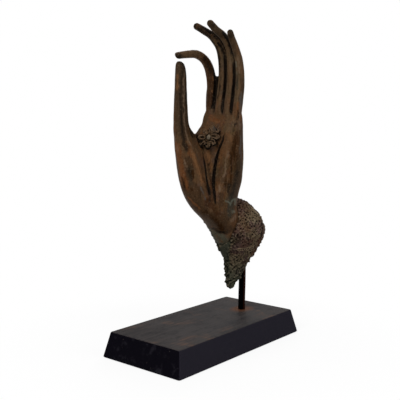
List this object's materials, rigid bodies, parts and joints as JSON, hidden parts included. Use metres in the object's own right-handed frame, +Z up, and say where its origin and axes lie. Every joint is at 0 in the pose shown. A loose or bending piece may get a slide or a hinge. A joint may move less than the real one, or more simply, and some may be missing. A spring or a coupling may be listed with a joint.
{
  "type": "hand sculpture on stand",
  "caption": "Bronze hand in the teaching gesture with a palm flower and rough wrist tenon, held by a steel rod over a low dark wooden block",
  "frame": {"origin": "middle of the underside, on the surface that the object stands on", "axes": "+Z up, the palm faces -Y along the block's length, the little finger is on the +X side"},
  "size_m": [0.1066, 0.207, 0.3479],
  "materials": {
    "ebonised_wood": "satin",
    "felt": "matte",
    "browned_steel": "worn",
    "zinc_steel": "satin",
    "patinated_bronze": "aged patina",
    "crusted_bronze": "rough crust",
    "casting_clay": "matte"
  },
  "bodies": {
    "root": {"base_block": "ebonised_wood", "base_felt": "felt", "mounting_rod": "browned_steel", "rod_washer": "zinc_steel", "rod_nut": "zinc_steel", "hand_casting": "patinated_bronze", "wrist_tenon": "crusted_bronze", "core_plug": "casting_clay", "palm_rosette": "patinated_bronze"}
  },
  "joints": []
}
